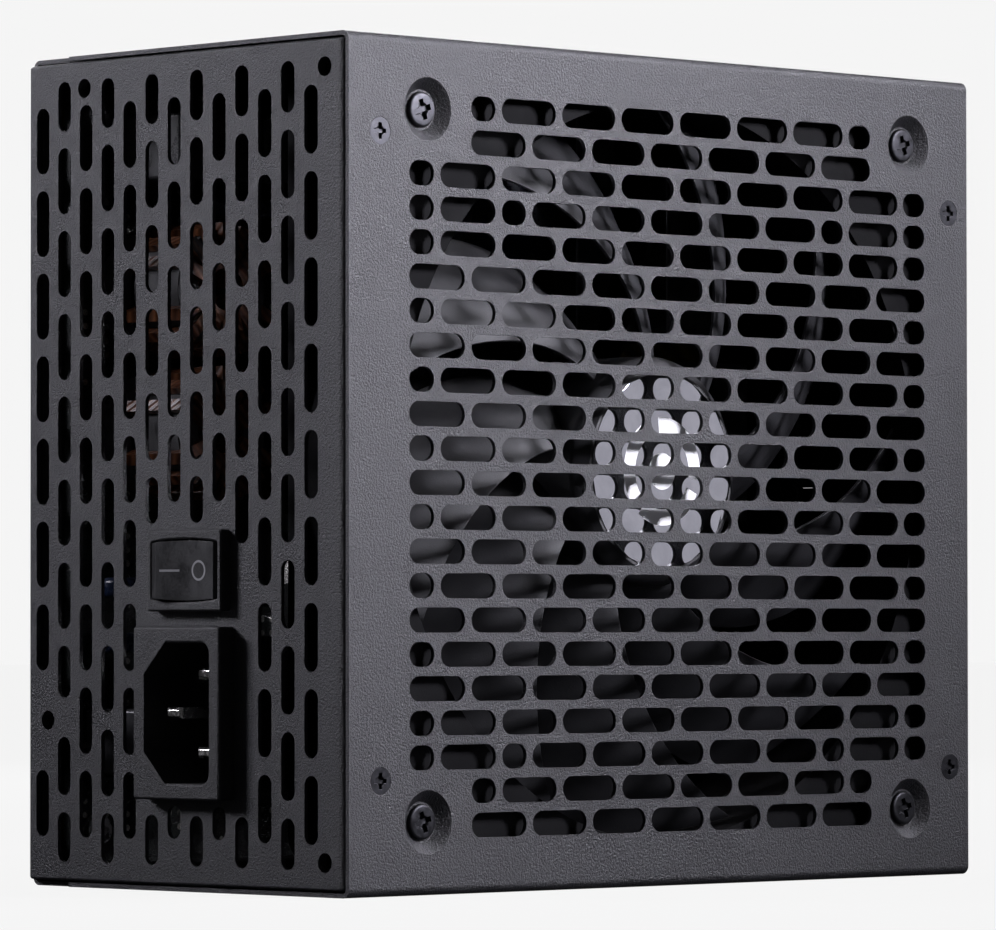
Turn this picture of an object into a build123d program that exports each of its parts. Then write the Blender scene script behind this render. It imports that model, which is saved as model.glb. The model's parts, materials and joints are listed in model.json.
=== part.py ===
# Desktop computer power supply, 150 x 86 x 160 mm, standing on its side.
# +Z runs up the 150 mm width, the fan face looks to -Y, the mains panel to -X, the output panel to +X.
# Inside the functions a place is (u, d, z): u in from the mains panel, d in from the fan face, z up.

import os
from math import cos, radians, sin, sqrt

from build123d import *

# case
caseDepth = 160.0
caseHeight = 86.0
caseWidth = 150.0
sheet = 0.8
bendRadius = 1.6
shellGap = 0.35
coverReach = 74.4
trayFlange = 76.0
coverInset = 0.1

# parts that stand proud of the case
inletProud = 3.5
switchProud = 2.2
socketProud = 1.0
labelThick = 0.12

# fan side grille
fanU = 81.2
fanZ = caseWidth / 2
fanRowPitch = 6.0
fanRowFirst = 63.0
fanSlotPitch = 15.0
fanSlotLong = 13.4
fanSlotShort = 5.9
fanSlotWide = 4.4

# mains side grille
ventFirst = 9.5
ventColumnPitch = 6.0
ventWide = 3.5
ventLong = 12.0
ventPitch = 15.0

# fan
fanSize = 140.0
fanDeep = 25.0
fanFront = 2.8
fanHolePitch = 124.5
fanBore = 67.0
ductWall = 2.6
flangeThick = 3.4
hubRadius = 21.0
hubFront = 4.0
hubDeep = 19.2
bladeCount = 9
bladeTip = 66.2
bladeMid = 14.2
bladePhase = 34.0
baseFront = fanFront + fanDeep - 3.0
fanBack = fanFront + fanDeep
shaftRadius = 1.5
shaftPlay = 0.05
fanPlugU = 133.2

# screws
dimpleTop = 5.6
dimpleFloor = 3.6
dimpleDeep = 2.0
fanScrewHead = 3.2
fanScrewRise = 0.85
fanScrewShank = 2.0
coverScrewHead = 2.5
coverScrewShank = 1.5
mountHole = 1.75
mountRim = 2.35

# mains inlet
inletD = 41.1
inletZ = 31.6
inletBezel = (23.1, 30.6)
inletBody = (19.6, 27.2)
inletMouth = (17.0, 24.8)
inletChamfer = 5.5
inletPocket = 13.5
inletDeep = 21.0
pinWide = 4.0
pinThick = 2.0
lineSpacing = 14.0
linePinOffset = -2.0
earthPinOffset = 2.0
linePinTip = 1.5
earthPinTip = -2.2

# rocker switch
switchD = 40.45
switchZ = 56.8
switchBezel = (19.7, 14.4)
switchBody = (18.6, 12.7)
switchMouth = (17.4, 10.1)
switchBulge = 0.55
switchPocket = 8.5
switchDeep = 13.0
rockerPivot = 0.3
rockerReach = 8.35
rockerFace = 1.9
rockerTilt = 8.0
rockerPlay = 0.3
rockerPin = 0.9

# circuit board
boardThick = 1.6
standoffLong = 5.0
boardBack = caseHeight - sheet - standoffLong
boardFace = boardBack - boardThick
boardEdge = 4.0

# output sockets
socketPitch = 4.2
socketCell = 3.4
socketWall = 0.9
socketSeat = 147.6
socketCellDeep = 11.0
socketPin = 1.0
socketRows = (40.0, 54.0, 68.0)

# main transformer
transformerU = 121.0
transformerZ = 82.0

# derived
ioX = -(caseDepth + inletProud + socketProud) / 2 + inletProud
fanY = -(caseHeight + labelThick) / 2


def block(u, d, z):
    low = (ioX + u[0], fanY + d[0], z[0])
    size = (u[1] - u[0], d[1] - d[0], z[1] - z[0])
    return Pos(*low) * Box(*size, align=(Align.MIN, Align.MIN, Align.MIN))


def centred(u, d, z, size):
    return Pos(ioX + u, fanY + d, z) * Box(*size)


def rodU(u0, u1, d, z, radius):
    place = Plane(origin=(ioX + u0, fanY + d, z), x_dir=(0, 1, 0), z_dir=(1, 0, 0))
    return extrude(place * Circle(radius), u1 - u0)


def rodD(u, d0, d1, z, radius):
    place = Plane(origin=(ioX + u, fanY + d0, z), x_dir=(1, 0, 0), z_dir=(0, 1, 0))
    return extrude(place * Circle(radius), d1 - d0)


def rodZ(u, d, z0, z1, radius):
    return Pos(ioX + u, fanY + d, z0) * extrude(Circle(radius), z1 - z0)


def ringD(u, d0, d1, z, outer, inner):
    return rodD(u, d0, d1, z, outer) - rodD(u, d0, d1, z, inner)


def ioPlane(u, d=0.0, z=0.0):
    # sketch x runs along d, sketch y runs up
    return Plane(origin=(ioX + u, fanY + d, z), x_dir=(0, 1, 0), z_dir=(1, 0, 0))


def facePlane(d, u=0.0, z=0.0):
    # sketch x runs along u, sketch y runs down
    return Plane(origin=(ioX + u, fanY + d, z), x_dir=(1, 0, 0), z_dir=(0, 1, 0))


def spun(u, z, points):
    # solid of revolution about a line along d, from points (radius, d)
    outline = Polyline([(r, d) for r, d in points], close=True)
    place = Plane(origin=(ioX + u, fanY, z), x_dir=(1, 0, 0), z_dir=(0, 0, 1))
    return revolve(place * make_face(outline), Axis((ioX + u, fanY, z), (0, 1, 0)))


def rounded(solid, axis, radius):
    return fillet(solid.edges().filter_by(axis), radius)


def crossCut(radius, deep):
    # cross recess on the local XY plane, cut towards -Z
    bar = extrude(Rectangle(radius * 1.25, radius * 0.34), -deep)
    side = extrude(Rectangle(radius * 0.34, radius * 1.25), -deep)
    pit = Pos(0, 0, -deep / 2) * Cone(radius * 0.12, radius * 0.42, deep)
    return bar + side + pit


def fanScrewPlaces():
    half = fanHolePitch / 2
    return [(fanU + x * half, fanZ + z * half) for x in (-1, 1) for z in (-1, 1)]


def coverScrewPlaces():
    right = caseDepth - 5.3
    return [(7.6, 132.9), (7.6, 20.1), (right, 124.9), (right, 20.3)]


def mountPlaces():
    return [(6.0, 144.0), (6.0, 6.0), (70.0, 144.0), (80.0, 30.0)]


def standoffPlaces():
    return [(10.0, 10.0), (10.0, 140.0), (92.0, 46.0), (151.5, 10.0), (151.5, 140.0)]


def fanRow(index):
    # slot centres from the fan axis, with each slot's length
    centre = [0.0, 15.0, 30.0, 45.0, 60.0]
    between = [7.5, 22.5, 37.5, 52.5]
    edge = [(63.75, fanSlotShort)]
    if index in (1, 22):
        far = [(48.75, fanSlotShort)] if index == 1 else []
        near = between[:3] if index == 1 else centre[:4]
    elif index in (2, 21):
        far = [(48.75, fanSlotShort)] if index == 21 else []
        near = between[:3] if index == 21 else centre[:4]
    elif index in (4, 20):
        far = edge + [(41.25, fanSlotShort), (52.5, fanSlotLong)]
        near = centre[:3]
    elif index % 2:
        far = edge
        near = between
    else:
        far = []
        near = centre
    half = far + [(x, fanSlotLong) for x in near]
    return half + [(-x, length) for x, length in half if x]


def fanGrille():
    slots = Sketch()
    for index in range(1, 23):
        z = (index - 1) * fanRowPitch - fanRowFirst
        row = [Pos(x, z) * SlotOverall(length, fanSlotWide) for x, length in fanRow(index)]
        slots += row
    return extrude(facePlane(-1.0, fanU, fanZ) * slots, sheet + 2.0)


def ventColumn(k):
    # (top, bottom) of each slot in one column, measured down from the top
    even = [(ventPitch * n - ventLong / 2, ventPitch * n + ventLong / 2) for n in range(1, 10)]
    middle = [22.5 + ventPitch * n for n in range(8)]
    odd = [(v - ventLong / 2, v + ventLong / 2) for v in middle]
    top = (4.5, 13.5)
    bottom = (136.5, 145.5)
    if k == 12:
        return even[:7] + even[8:]
    if k in (4, 6):
        return even[:5] + [(134.8, 140.7)]
    if k % 2 == 0:
        return even
    if k == 3:
        return [top] + odd[:5] + [bottom]
    if k in (5, 7):
        return [top] + odd[:4] + [(76.5, 84.8), bottom]
    if k == 11:
        return [top] + odd[:6] + [(106.5, 115.9), (123.0, 133.5), bottom]
    return [top] + odd + [bottom]


def mainsGrille():
    slots = Sketch()
    for k in range(13):
        d = ventFirst + ventColumnPitch * k
        for v0, v1 in ventColumn(k):
            z = caseWidth - (v0 + v1) / 2
            slots += Pos(d, z) * SlotOverall(v1 - v0, ventWide, rotation=90)
    return extrude(ioPlane(-1.0) * slots, sheet + 2.0)


def cover():
    outer = block((coverInset, caseDepth - coverInset), (0, caseHeight), (0, caseWidth))
    front = outer.edges().filter_by(Axis.X).group_by(Axis.Y)[0]
    inner = block((-1, caseDepth + 1), (sheet, caseHeight + 1), (sheet, caseWidth - sheet))
    inside = inner.edges().filter_by(Axis.X).group_by(Axis.Y)[0]
    shell = fillet(front, bendRadius) - fillet(inside, bendRadius - sheet)
    shell -= block((-1, caseDepth + 1), (coverReach, caseHeight + 1), (-1, caseWidth + 1))
    shell -= fanGrille()
    for u, z in fanScrewPlaces():
        shell -= rodD(u, -1, sheet + 1, z, dimpleTop)
    for u, z in fanScrewPlaces():
        shell += dimple(u, z)
    for u, z in coverScrewPlaces():
        shell -= spun(u, z, screwSink(coverScrewHead, coverScrewShank, sheet))
    return shell


def dimple(u, z):
    # pressed cup that carries one fan screw, as (radius, d)
    rim = (dimpleTop, 0)
    floor = (dimpleFloor, dimpleDeep)
    under = (dimpleFloor + 0.7, dimpleDeep + sheet)
    root = (dimpleTop + 0.7, sheet)
    hole = fanScrewShank + 0.15
    outline = Polyline(
        (dimpleTop + 1.4, 0), rim, floor, (hole, dimpleDeep), (hole, dimpleDeep + sheet), under, root,
        (dimpleTop + 1.4, sheet), close=True,
    )
    section = rounding(rounding(make_face(outline), (rim, under), 0.9), (floor, root), 0.3)
    place = Plane(origin=(ioX + u, fanY, z), x_dir=(1, 0, 0), z_dir=(0, 0, 1))
    return revolve(place * section, Axis((ioX + u, fanY, z), (0, 1, 0)))


def rounding(face, points, radius):
    corners = [c for c in face.vertices() if any(abs(c.X - x) + abs(c.Y - y) < 0.01 for x, y in points)]
    return fillet(corners, radius)


def screwSink(head, shank, deep):
    return [(0, -1), (head, -1), (head, 0), (shank, deep), (shank, deep + 1), (0, deep + 1)]


def tray():
    low = sheet + shellGap
    high = caseWidth - low
    front = sheet + 0.1
    tube = block((0, caseDepth), (front, caseHeight), (low, high))
    tube = rounded(tube, Axis.Z, bendRadius)
    hollow = block((sheet, caseDepth - sheet), (front + sheet, caseHeight - sheet), (low - 1, high + 1))
    tube -= rounded(hollow, Axis.Z, bendRadius - sheet)
    tube -= block((10.9, caseDepth - 8.4), (-1, sheet * 2 + 1), (0, caseWidth))
    panels = tube.edges().filter_by(Axis.Y).filter_by(lambda e: e.length > 60)
    outside = panels.filter_by(lambda e: min(e.center().X - ioX, ioX + caseDepth - e.center().X) < 0.01)
    tube = fillet(outside, sheet * 0.7)
    # folds under the cover along the edges of both end panels
    for z in (low, high - sheet):
        tube += block((sheet / 2, 9), (6, trayFlange + 7), (z, z + sheet))
        tube += block((caseDepth - 9, caseDepth - sheet / 2), (6, trayFlange + 7), (z, z + sheet))
    # the back plate's own folds, level with the cover
    band = block((bendRadius, caseDepth - bendRadius), (trayFlange, caseHeight), (0, caseWidth))
    band = fillet(band.edges().filter_by(Axis.X).group_by(Axis.Y)[-1], bendRadius)
    bore = block((0, caseDepth), (trayFlange - 1, caseHeight - sheet), (sheet, caseWidth - sheet))
    band -= fillet(bore.edges().filter_by(Axis.X).group_by(Axis.Y)[-1], bendRadius - sheet)
    # each of those folds steps in and runs on under the cover's edge
    under = sheet + 0.05
    for low, z in ((0, under), (caseWidth - under - sheet, caseWidth - under - sheet)):
        high = low + under + sheet
        band += block((bendRadius, caseDepth - bendRadius), (trayFlange, trayFlange + sheet), (low, high))
        band += block((10, caseDepth - 10), (trayFlange - 7, trayFlange + sheet), (z, z + sheet))
    return drilledTray(tube + band)


def drilledTray(shell):
    shell -= mainsGrille()
    for d, z in mountPlaces():
        shell += rodU(sheet / 2, sheet + 1.1, d, z, mountRim)
    for d, z in mountPlaces():
        shell -= rodU(-1, 4, d, z, mountHole)
    shell -= block((-1, 3), span(inletD, inletBody[0] + 0.1), span(inletZ, inletBody[1] + 0.1))
    shell -= block((-1, 3), span(switchD, switchBody[0] + 0.1), span(switchZ, switchBody[1] + 0.1))
    for _, d, z, columns in socketList():
        wide = columns * socketPitch + 1.6
        shell -= block((caseDepth - 3, caseDepth + 1), span(d, 10.2), span(z, wide))
    for u, z in coverScrewPlaces():
        shell -= rodD(u, 0, 4, z, coverScrewShank)
    return shell


def span(middle, size):
    return (middle - size / 2, middle + size / 2)


def coverScrews():
    screws = Part()
    for u, z in coverScrewPlaces():
        outline = [(0, 0.05), (coverScrewHead - 0.08, 0.05), (coverScrewShank, sheet),
                   (coverScrewShank, 6.0), (0, 6.6)]
        place = Plane(origin=(ioX + u, fanY + 0.05, z), x_dir=(1, 0, 0), z_dir=(0, -1, 0))
        screws += spun(u, z, outline) - place * crossCut(coverScrewHead * 0.9, 0.6)
    return screws


def fanScrews():
    screws = Part()
    top = dimpleDeep - fanScrewRise
    for u, z in fanScrewPlaces():
        outline = [(0, top), (fanScrewHead - 0.55, top + 0.04), (fanScrewHead - 0.15, top + 0.25),
                   (fanScrewHead, dimpleDeep - 0.1), (fanScrewHead, dimpleDeep),
                   (fanScrewShank, dimpleDeep), (fanScrewShank, 13.0), (0, 14.0)]
        place = Plane(origin=(ioX + u, fanY + top, z), x_dir=(1, 0, 0), z_dir=(0, -1, 0))
        screws += spun(u, z, outline) - place * Rot(0, 0, 18) * crossCut(fanScrewHead * 0.92, 0.8)
    return screws


def boardScrews():
    screws = Part()
    for u, z in standoffPlaces():
        head = rodD(u, boardFace - 2.0, boardFace, z, 2.8)
        head = fillet(head.edges().filter_by(GeomType.CIRCLE).group_by(Axis.Y)[0], 0.7)
        place = Plane(origin=(ioX + u, fanY + boardFace - 2.0, z), x_dir=(1, 0, 0), z_dir=(0, -1, 0))
        screws += head + rodD(u, boardFace, boardBack + 4.0, z, 1.5) - place * crossCut(2.6, 1.2)
    return screws


def standoffs():
    posts = Part()
    for u, z in standoffPlaces():
        place = facePlane(boardBack, u, z)
        hexagon = extrude(place * RegularPolygon(3.2, 6), standoffLong)
        posts += hexagon - rodD(u, boardBack - 1, boardBack + 4.4, z, 1.5)
    return posts


def insulatingSheet():
    film = block((3, caseDepth - 3), (caseHeight - sheet - 0.3, caseHeight - sheet), (3, caseWidth - 3))
    for u, z in standoffPlaces():
        film -= rodD(u, 80, 86, z, 4.0)
    return film


def mainBoard():
    edge = boardEdge
    board = block((edge, socketSeat - boardThick - 0.2), (boardFace, boardBack), (edge, caseWidth - edge))
    board += block((100, caseDepth - edge), (boardFace, boardBack), (edge, 16))
    board += block((100, caseDepth - edge), (boardFace, boardBack), (caseWidth - 16, caseWidth - edge))
    for u, z in standoffPlaces():
        board -= rodD(u, 70, 84, z, 1.7)
    return board


# fan

def fanFrame():
    half = fanSize / 2
    frame = ringD(fanU, fanFront, fanBack, fanZ, fanBore + ductWall, fanBore)
    for d0, d1 in ((fanFront, fanFront + flangeThick), (fanBack - flangeThick, fanBack)):
        plate = block((fanU - half, fanU + half), (d0, d1), (fanZ - half, fanZ + half))
        frame += rounded(plate, Axis.Y, 5.0) - rodD(fanU, d0 - 1, d1 + 1, fanZ, fanBore)
    for u, z in fanScrewPlaces():
        frame += rodD(u, fanFront, fanBack, z, 4.6)
    for u, z in fanScrewPlaces():
        frame -= rodD(u, fanFront - 1, fanBack + 1, z, fanScrewShank)
    frame += rodD(fanU, baseFront, fanBack, fanZ, hubRadius + 0.6)
    for turn in range(4):
        arm = Pos(0, (fanBack + baseFront) / 2, 45) * Box(4.5, fanBack - baseFront, 48)
        frame += Pos(ioX + fanU, fanY, fanZ) * Rot(0, 90 * turn + 20, 0) * arm
    frame += rodD(fanU, 8.6, fanBack, fanZ, 4.5)
    return frame - rodD(fanU, 7, fanBack - 1.0, fanZ, 3.0)


def fanBearing():
    return ringD(fanU, 9.0, fanBack - 1.6, fanZ, 3.0, shaftRadius + shaftPlay)


def statorCore():
    core = ringD(fanU, 12.0, 20.0, fanZ, 7.0, 4.5)
    for turn in range(4):
        pole = Pos(9.0, 16.0, 0) * Box(7.0, 8.0, 3.0)
        shoe = ringD(fanU, 12.0, 20.0, fanZ, 14.8, 13.0)
        window = Pos(ioX + fanU, fanY, fanZ) * Rot(0, 90 * turn, 0) * Pos(14, 16, 0) * Box(8, 9, 17)
        core += Pos(ioX + fanU, fanY, fanZ) * Rot(0, 90 * turn, 0) * pole
        core += shoe & window
    return core


def statorCoils():
    coils = Part()
    for turn in range(4):
        coil = Pos(10.0, 16.0, 0) * Box(4.8, 11.0, 7.4)
        coil = rounded(coil, Axis.X, 2.0) - Pos(10.0, 16.0, 0) * Box(6, 8.0, 3.0)
        coils += Pos(ioX + fanU, fanY, fanZ) * Rot(0, 90 * turn, 0) * coil
    return coils


def fanBoard():
    board = ringD(fanU, 22.0, 23.2, fanZ, 16.0, 4.5)
    return board + centred(fanU + 8, 21.4, fanZ + 8, (3, 1.2, 3))


def bladeSection(chord):
    nose = chord / 2
    top = ThreePointArc((-nose, 0.3), (0, 2.0), (nose, 0.3))
    bottom = ThreePointArc((nose, -0.3), (0, 0.4), (-nose, -0.3))
    ends = [Line((nose, 0.3), (nose, -0.3)), Line((-nose, -0.3), (-nose, 0.3))]
    return make_face([top, bottom] + ends)


def fanBlade(phase):
    sections = []
    for r, chord, pitch in ((19.6, 15.5, 46.0), (34.0, 23.0, 38.0), (50.0, 29.0, 31.0), (68.0, 33.5, 25.0)):
        turn = radians(phase + 0.95 * (r - hubRadius))
        out = Vector(cos(turn), 0, sin(turn))
        along = Vector(-sin(turn), 0, cos(turn))
        lean = along * cos(radians(pitch)) - Vector(0, 1, 0) * sin(radians(pitch))
        seat = Vector(ioX + fanU, fanY + bladeMid, fanZ) + out * r
        place = Plane(origin=seat, x_dir=lean, z_dir=out)
        sections.append(place * bladeSection(chord))
    blade = loft(sections)
    keep = ringD(fanU, 5.0, 24.0, fanZ, bladeTip, hubRadius - 0.7)
    return blade & keep


def fanRotor():
    hub = spun(fanU, fanZ, [
        (0, hubFront), (hubRadius - 2.6, hubFront), (hubRadius - 0.3, hubFront + 2.0),
        (hubRadius, hubFront + 3.0), (hubRadius, hubFront + hubDeep), (hubRadius - 1.4, hubFront + hubDeep),
        (hubRadius - 1.4, hubFront + 2.6), (4.0, hubFront + 1.8), (4.0, hubFront + 3.6),
        (shaftRadius, hubFront + 3.6), (shaftRadius, hubFront + 1.4), (0, hubFront + 1.4),
    ])
    for index in range(bladeCount):
        hub += fanBlade(360 * index / bladeCount + bladePhase)
    return hub


def rotorYoke():
    return ringD(fanU, hubFront + 3.0, hubFront + 18.2, fanZ, hubRadius - 1.4, hubRadius - 2.4)


def rotorMagnet():
    return ringD(fanU, hubFront + 4.4, hubFront + 17.6, fanZ, hubRadius - 2.4, hubRadius - 4.4)


def rotorShaft():
    return rodD(fanU, hubFront + 1.4, fanBack - 2.4, fanZ, shaftRadius)


def hubLabel():
    return rodD(fanU, hubFront - 0.15, hubFront, fanZ, 17.8)


def fanLead():
    wires = Part()
    start = ioX + fanPlugU - 14
    level = fanY + fanBack + 1.2
    for index in range(3):
        z = 7.5 + 1.7 * index
        bend = FilletPolyline((start, level, z), (start + 14, level, z), (start + 14, level + 34.5, z), radius=6.3)
        profile = Plane(origin=bend @ 0, z_dir=bend % 0) * Circle(0.75)
        wires += sweep(profile, path=bend)
    return wires


def fanPlug():
    body = block(span(fanPlugU, 6), (fanBack + 35.7, boardFace), (4.6, 13.8))
    return rounded(body, Axis.Y, 0.6)


# mains inlet and switch

def mouthShape(size, corner, chamferSize):
    shape = Rectangle(*size)
    far = shape.vertices().sort_by(Axis.X)[-2:]
    shape = chamfer(far, chamferSize)
    near = shape.vertices().group_by(Axis.X)[0]
    return fillet(near, corner)


def inletHousing():
    bezel = block((-inletProud, 0), span(inletD, inletBezel[0]), span(inletZ, inletBezel[1]))
    bezel = rounded(bezel, Axis.X, 0.6)
    body = block((-0.2, inletDeep), span(inletD, inletBody[0]), span(inletZ, inletBody[1]))
    shell = bezel + body
    mouth = ioPlane(-inletProud - 1, inletD, inletZ) * mouthShape(inletMouth, 2.0, inletChamfer)
    shell -= extrude(mouth, inletPocket + inletProud + 1)
    shell = chamfer(shell.edges().group_by(Axis.X)[0].filter_by(lambda e: e.length > 18), 0.35)
    for d, z, _ in pinPlaces():
        shell -= block((inletPocket - 1, inletDeep + 1), span(d, pinWide), span(z, pinThick))
    return shell


def pinPlaces():
    half = lineSpacing / 2
    line = inletD + linePinOffset
    return [(line, inletZ - half, linePinTip), (line, inletZ + half, linePinTip),
            (inletD + earthPinOffset, inletZ, earthPinTip)]


def inletPin(d, z, tip):
    blade = block((tip, inletDeep + 7), span(d, pinWide), span(z, pinThick))
    nose = blade.edges().group_by(Axis.X)[0]
    return chamfer(nose, 0.5) - rodZ(inletDeep + 4.6, d, z - 3, z + 3, 0.9)


def inletPins():
    return Part() + [inletPin(*place) for place in pinPlaces()]


def filterBoard():
    board = block((inletDeep + 7, inletDeep + 8.6), (31, 56), (15, 62))
    return board


def bulged(size, bulge):
    x = size[0] / 2
    y = size[1] / 2
    top = ThreePointArc((-x, y), (0, y + bulge), (x, y))
    right = Line((x, y), (x, -y))
    bottom = ThreePointArc((x, -y), (0, -y - bulge), (-x, -y))
    left = Line((-x, -y), (-x, y))
    return make_face([top, right, bottom, left])


def switchHousing():
    bezel = block((-switchProud, 0), span(switchD, switchBezel[0]), span(switchZ, switchBezel[1]))
    bezel = rounded(bezel, Axis.X, 0.5)
    shell = bezel + block((-0.2, switchDeep), span(switchD, switchBody[0]), span(switchZ, switchBody[1]))
    shape = bulged(switchMouth, switchBulge)
    shape = fillet(shape.vertices(), 0.5)
    shell -= extrude(ioPlane(-switchProud - 1, switchD, switchZ) * shape, switchPocket + switchProud + 1)
    shell = chamfer(shell.edges().group_by(Axis.X)[0].filter_by(lambda e: e.length > 12), 0.3)
    reach = switchMouth[1] / 2 + switchBulge + 0.5
    shell -= rodZ(rockerPivot, switchD, switchZ - reach, switchZ + reach, rockerPin + shaftPlay)
    for d, z in terminalPlaces():
        shell -= block((switchPocket - 1, switchDeep + 1), span(d, 0.8), span(z, 4.6))
    return shell


def terminalPlaces():
    return [(switchD - 5.5, switchZ), (switchD, switchZ)]


def switchTerminals():
    tabs = Part()
    for d, z in terminalPlaces():
        tab = block((switchPocket - 0.6, switchDeep + 8), span(d, 0.8), span(z, 4.6))
        tabs += chamfer(tab.edges().filter_by(Axis.Y).group_by(Axis.X)[-1], 1.0)
    return tabs


def rocker():
    # outline in its middle position, x along d and y outwards from the pivot
    reach = rockerReach
    tilt = radians(rockerTilt)
    crown = rockerFace / cos(tilt)
    run = sqrt(reach ** 2 - rockerFace ** 2)
    tip = (run * cos(tilt) - rockerFace * sin(tilt), rockerFace * cos(tilt) + run * sin(tilt))
    low = (sqrt(reach ** 2 - 4.0), -2.0)
    edge = Polyline((-tip[0], tip[1]), (0, crown), tip)
    side = ThreePointArc(tip, (reach, 0), low)
    floor = Polyline(low, (2.0, -4.0), (-2.0, -4.0), (-low[0], low[1]))
    back = ThreePointArc((-low[0], low[1]), (-reach, 0), (-tip[0], tip[1]))
    outline = make_face([edge, side, floor, back])
    tips = outline.vertices().group_by(Axis.Y)[-1]
    outline = chamfer(tips, 1.3, 1.0)
    thick = switchMouth[1] + 2 * switchBulge
    place = Plane(origin=(ioX + rockerPivot, fanY + switchD, switchZ), x_dir=(0, 1, 0), z_dir=(0, 0, 1))
    body = extrude(place * outline, thick, both=True)
    size = (switchMouth[0] + 0.6, switchMouth[1] - 2 * rockerPlay)
    body &= extrude(ioPlane(-8, switchD, switchZ) * bulged(size, switchBulge), 20)
    reach = switchMouth[1] / 2 + switchBulge + 0.4
    body += rodZ(rockerPivot, switchD, switchZ - reach, switchZ + reach, rockerPin)
    axis = Axis((ioX + rockerPivot, fanY + switchD, switchZ), (0, 0, 1))
    return body.rotate(axis, rockerTilt)


# board components: (u, z) is the middle of the part, rise is how far it stands off the board

def standing(u, z, size, rise):
    return block(span(u, size[0]), (boardFace - rise, boardFace), span(z, size[1]))


def filmCapacitors():
    inlet = block((inletDeep + 8.6, inletDeep + 19.6), (32, 53), (20, 44))
    boxes = Part() + fillet(inlet.edges().group_by(Axis.X)[-1] + inlet.edges().filter_by(Axis.X), 1.0)
    resonant = standing(120, 46, (24, 12), 18)
    boxes += fillet(resonant.edges().group_by(Axis.Y)[0] + resonant.edges().filter_by(Axis.Y), 0.8)
    for u, z in ((24, 134), (44.6, 134), (18, 26)):
        box = standing(u, z, (20, 12), 19)
        boxes += fillet(box.edges().group_by(Axis.Y)[0] + box.edges().filter_by(Axis.Y), 0.8)
    return boxes


def discCapacitors():
    discs = Part()
    for d in (36.0, 47.0):
        disc = rodZ(inletDeep + 13.4, d, 50, 53.4, 4.2)
        discs += fillet(disc.edges(), 1.2) + rodU(inletDeep + 8.6, inletDeep + 10.4, d, 51.7, 0.4)
    for u, z in ((12, 44), (12, 54), (34, 124), (44, 124)):
        disc = rodZ(u, boardFace - 6.4, z - 1.8, z + 1.8, 4.6)
        discs += fillet(disc.edges(), 1.2) + rodD(u, boardFace - 5, boardFace, z, 0.5)
    return discs


def chokePlaces():
    return [(22, 82), (22, 108)]


def chokeCores():
    cores = Part()
    for u, z in chokePlaces():
        cores += ringD(u, boardFace - 21, boardFace - 9, z, 10.5, 5.5)
        cores += ringD(u, boardFace - 7, boardFace, z, 11, 9.5)
    return cores


def chokeWindings():
    turns = Part()
    for u, z in chokePlaces():
        for index in range(7):
            for half in (0, 180):
                angle = half + 24 + 22 * index
                turn = Pos(8.0, 0, 0) * (Box(8.2, 15.2, 2.2) - Box(5.4, 12.2, 4))
                turn = Rot(0, angle, 0) * turn
                turns += Pos(ioX + u, fanY + boardFace - 15, z) * turn
    return turns


def fuse():
    body = rodZ(36, boardFace - 4, 56, 76, 2.6)
    for z in (56, 71.5):
        body += rodZ(36, boardFace - 4, z, z + 4.5, 3.0)
        body += block((35, 37), (boardFace - 3, boardFace), (z + 1, z + 3))
    return body


def varistor():
    disc = rodU(42, 46, boardFace - 9, 86, 7.5)
    return fillet(disc.edges(), 1.4) + block((43.5, 44.5), (boardFace - 3, boardFace), (83, 89))


def bridgeRectifiers():
    bodies = Part()
    for z in (16, 42):
        body = block((51.2, 55.2), (boardFace - 24, boardFace - 4), (z, z + 22))
        legs = Part()
        for index in range(4):
            start = z + 2.5 + 5.2 * index
            legs += block((52.6, 53.8), (boardFace - 4, boardFace), (start, start + 1.2))
        bodies += body + legs
    return bodies


def finned(u, z, long, rise, reach):
    # a plate along z with fins standing out of one side
    plate = block((u, u + 3), (boardFace - rise, boardFace), span(z, long))
    fins = max(int(rise // 7), 2)
    for index in range(fins):
        d = boardFace - rise + 1.0 + index * (rise - 4) / (fins - 1)
        plate += block((u + 3, u + 3 + reach), (d, d + 1.6), span(z, long))
    return plate


def heatsinks():
    bridge = finned(55.2, 40, 56, 38, 6)
    primary = finned(92, 100, 84, 42, 8)
    return Part() + [bridge, primary, finned(118, 122, 40, 40, 10)]


def pfcCore():
    return ringD(84, boardFace - 30, boardFace - 14, 28, 17, 9)


def pfcWinding():
    turns = Part()
    for index in range(22):
        turn = Pos(13.0, 0, 0) * (Box(12.6, 20.4, 2.6) - Box(8.5, 16.2, 4))
        turn = Rot(0, 360 * index / 22, 0) * turn
        turns += Pos(ioX + 84, fanY + boardFace - 22, 28) * turn
    return turns


def bulkCapacitors():
    cans = Part()
    for z in (126.0, 92.0):
        can = rodD(70, boardFace - 45, boardFace, z, 15.0)
        rim = can.edges().filter_by(GeomType.CIRCLE).group_by(Axis.Y)[0]
        can = fillet(rim, 1.6)
        cans += can - ringD(70, boardFace - 39, boardFace - 37.5, z, 16, 14.5)
    return cans


def powerTransistors():
    bodies = Part()
    for index in range(4):
        z = 68 + 20 * index
        body = block((87.4, 92.0), (boardFace - 30, boardFace - 14), (z, z + 10))
        body += block((91.0, 92.0), (boardFace - 36, boardFace - 30), (z, z + 10))
        for leg in range(3):
            start = z + 1.8 + 2.7 * leg
            body += block((89.4, 90.2), (boardFace - 14, boardFace), (start, start + 1.0))
        bodies += body
    return bodies


def transformerCore():
    core = Part()
    for side in (-14.5, 14.5):
        core += standing(transformerU + side, transformerZ, (5, 30), 42)
    cap = block(span(transformerU, 34), (boardFace - 42, boardFace - 36), span(transformerZ, 30))
    foot = block(span(transformerU, 34), (boardFace - 8, boardFace - 2), span(transformerZ, 30))
    return core + cap + foot


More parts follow.
